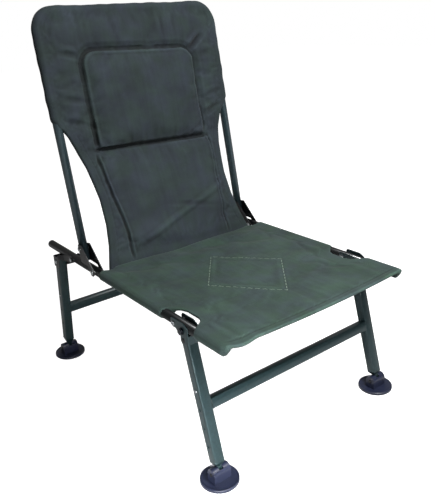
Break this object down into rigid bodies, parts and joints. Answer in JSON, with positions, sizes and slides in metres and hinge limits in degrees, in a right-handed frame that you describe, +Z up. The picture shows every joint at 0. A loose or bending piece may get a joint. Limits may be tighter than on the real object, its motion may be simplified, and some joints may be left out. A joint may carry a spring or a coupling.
{
  "type": "folding fishing chair",
  "caption": "Low folding fishing chair: steel rail frame, fabric seat, padded fold-down back with head pad, telescopic legs with spring buttons and swivel disc feet.",
  "frame": {"origin": "centre of the bounding box on the ground", "axes": "+Z up, the chair faces -Y, +X is its right side as seen from behind"},
  "size_m": [0.6272, 0.8159, 0.9705],
  "materials": {
    "rail_paint": "glossy gunmetal green powder coat",
    "leg_paint": "hammered grey-green powder coat",
    "inner_leg_paint": "grey-green powder coat",
    "black_steel": "black coated steel with bare cut edges",
    "black_plastic": "moulded black plastic",
    "bright_steel": "bright zinc plate",
    "dark_steel": "dark blued steel",
    "spring_steel": "spring steel",
    "back_fabric": "matt woven polyester, slate green",
    "seat_fabric": "matt woven polyester, green"
  },
  "bodies": {
    "seat_frame": {"side_rail_left": "rail_paint", "side_rail_right": "rail_paint", "rail_cap_left": "black_plastic", "rail_cap_right": "black_plastic", "front_leg_bracket_left": "leg_paint", "front_leg_bracket_right": "leg_paint", "rear_leg_bracket_left": "black_steel", "rear_leg_bracket_right": "black_steel", "front_bracket_rivet_left": "bright_steel", "front_bracket_rivet_right": "bright_steel", "front_bracket_bolt_left": "dark_steel", "front_bracket_bolt_right": "dark_steel", "rear_bracket_rivet_left": "bright_steel", "rear_bracket_rivet_right": "bright_steel", "back_pivot_rivet_left": "bright_steel", "back_pivot_rivet_right": "bright_steel", "seat_cover": "seat_fabric"},
    "back": {"back_tube": "rail_paint", "back_bracket_left": "black_steel", "back_bracket_right": "black_steel", "back_bracket_rivet_left": "bright_steel", "back_bracket_rivet_right": "bright_steel", "back_cover": "back_fabric", "back_skirt": "back_fabric"},
    "front_legs": {"front_leg_tube_left": "leg_paint", "front_leg_tube_right": "leg_paint", "front_crossbar": "leg_paint", "front_leg_pivot_left": "black_steel", "front_leg_pivot_right": "black_steel"},
    "front_inner_leg_left_slide": {"front_inner_leg_left": "inner_leg_paint", "front_leg_plug_left": "leg_paint", "front_leaf_spring_left": "spring_steel"},
    "front_button_left_push": {"front_button_left": "bright_steel"},
    "front_foot_left_swivel": {"front_foot_left": "black_plastic", "front_foot_pin_left": "black_steel"},
    "front_inner_leg_right_slide": {"front_inner_leg_right": "inner_leg_paint", "front_leg_plug_right": "leg_paint", "front_leaf_spring_right": "spring_steel"},
    "front_button_right_push": {"front_button_right": "bright_steel"},
    "front_foot_right_swivel": {"front_foot_right": "black_plastic", "front_foot_pin_right": "black_steel"},
    "rear_legs": {"rear_leg_tube_left": "leg_paint", "rear_leg_tube_right": "leg_paint", "rear_crossbar": "leg_paint", "rear_leg_pivot_left": "bright_steel", "rear_leg_pivot_right": "bright_steel", "rear_leg_cap_left": "black_plastic", "rear_leg_cap_right": "black_plastic"},
    "rear_inner_leg_left_slide": {"rear_inner_leg_left": "inner_leg_paint", "rear_leg_plug_left": "leg_paint", "rear_leaf_spring_left": "spring_steel"},
    "rear_button_left_push": {"rear_button_left": "bright_steel"},
    "rear_foot_left_swivel": {"rear_foot_left": "black_plastic", "rear_foot_pin_left": "black_steel"},
    "rear_inner_leg_right_slide": {"rear_inner_leg_right": "inner_leg_paint", "rear_leg_plug_right": "leg_paint", "rear_leaf_spring_right": "spring_steel"},
    "rear_button_right_push": {"rear_button_right": "bright_steel"},
    "rear_foot_right_swivel": {"rear_foot_right": "black_plastic", "rear_foot_pin_right": "black_steel"}
  },
  "joints": [
    {"name": "back_fold", "type": "hinge", "parent": "seat_frame", "child": "back", "pos_m": [0, 0.128, 0.338], "axis": [1, 0, 0], "range_deg": [0, 95], "deforming": ["back_skirt"]},
    {"name": "front_legs_fold", "type": "hinge", "parent": "seat_frame", "child": "front_legs", "pos_m": [0, -0.274, 0.312], "axis": [1, 0, 0], "range_deg": [0, 97]},
    {"name": "front_left_leg_extend", "type": "slide", "parent": "front_legs", "child": "front_inner_leg_left_slide", "axis": [0, -0.2647, -0.9643], "range_m": [0, 0.126], "deforming": ["front_button_left"]},
    {"name": "front_left_foot_tilt", "type": "hinge", "parent": "front_inner_leg_left_slide", "child": "front_foot_left_swivel", "pos_m": [-0.26, -0.35306, 0.024], "axis": [1, 0, 0], "range_deg": [-25, 25]},
    {"name": "front_left_button_press", "type": "slide", "parent": "front_inner_leg_left_slide", "child": "front_button_left_push", "axis": [1, 0, 0], "range_m": [0, 0.0035], "stiffness_N_per_m": 800, "deforming": ["front_leaf_spring_left"]},
    {"name": "front_right_leg_extend", "type": "slide", "parent": "front_legs", "child": "front_inner_leg_right_slide", "axis": [0, -0.2647, -0.9643], "range_m": [0, 0.126], "deforming": ["front_button_right"]},
    {"name": "front_right_foot_tilt", "type": "hinge", "parent": "front_inner_leg_right_slide", "child": "front_foot_right_swivel", "pos_m": [0.26, -0.35306, 0.024], "axis": [1, 0, 0], "range_deg": [-25, 25]},
    {"name": "front_right_button_press", "type": "slide", "parent": "front_inner_leg_right_slide", "child": "front_button_right_push", "axis": [-1, 0, 0], "range_m": [0, 0.0035], "stiffness_N_per_m": 800, "deforming": ["front_leaf_spring_right"]},
    {"name": "rear_legs_fold", "type": "hinge", "parent": "seat_frame", "child": "rear_legs", "pos_m": [0, 0.32885, 0.312], "axis": [1, 0, 0], "range_deg": [-88, 0]},
    {"name": "rear_left_leg_extend", "type": "slide", "parent": "rear_legs", "child": "rear_inner_leg_left_slide", "axis": [0, 0.1243, -0.9922], "range_m": [0, 0.094], "deforming": ["rear_button_left"]},
    {"name": "rear_left_foot_tilt", "type": "hinge", "parent": "rear_inner_leg_left_slide", "child": "rear_foot_left_swivel", "pos_m": [-0.2706, 0.36493, 0.024], "axis": [1, 0, 0], "range_deg": [-25, 25]},
    {"name": "rear_left_button_press", "type": "slide", "parent": "rear_inner_leg_left_slide", "child": "rear_button_left_push", "axis": [1, 0, 0], "range_m": [0, 0.0035], "stiffness_N_per_m": 800, "deforming": ["rear_leaf_spring_left"]},
    {"name": "rear_right_leg_extend", "type": "slide", "parent": "rear_legs", "child": "rear_inner_leg_right_slide", "axis": [0, 0.1243, -0.9922], "range_m": [0, 0.094], "deforming": ["rear_button_right"]},
    {"name": "rear_right_foot_tilt", "type": "hinge", "parent": "rear_inner_leg_right_slide", "child": "rear_foot_right_swivel", "pos_m": [0.2706, 0.36493, 0.024], "axis": [1, 0, 0], "range_deg": [-25, 25]},
    {"name": "rear_right_button_press", "type": "slide", "parent": "rear_inner_leg_right_slide", "child": "rear_button_right_push", "axis": [-1, 0, 0], "range_m": [0, 0.0035], "stiffness_N_per_m": 800, "deforming": ["rear_leaf_spring_right"]}
  ]
}
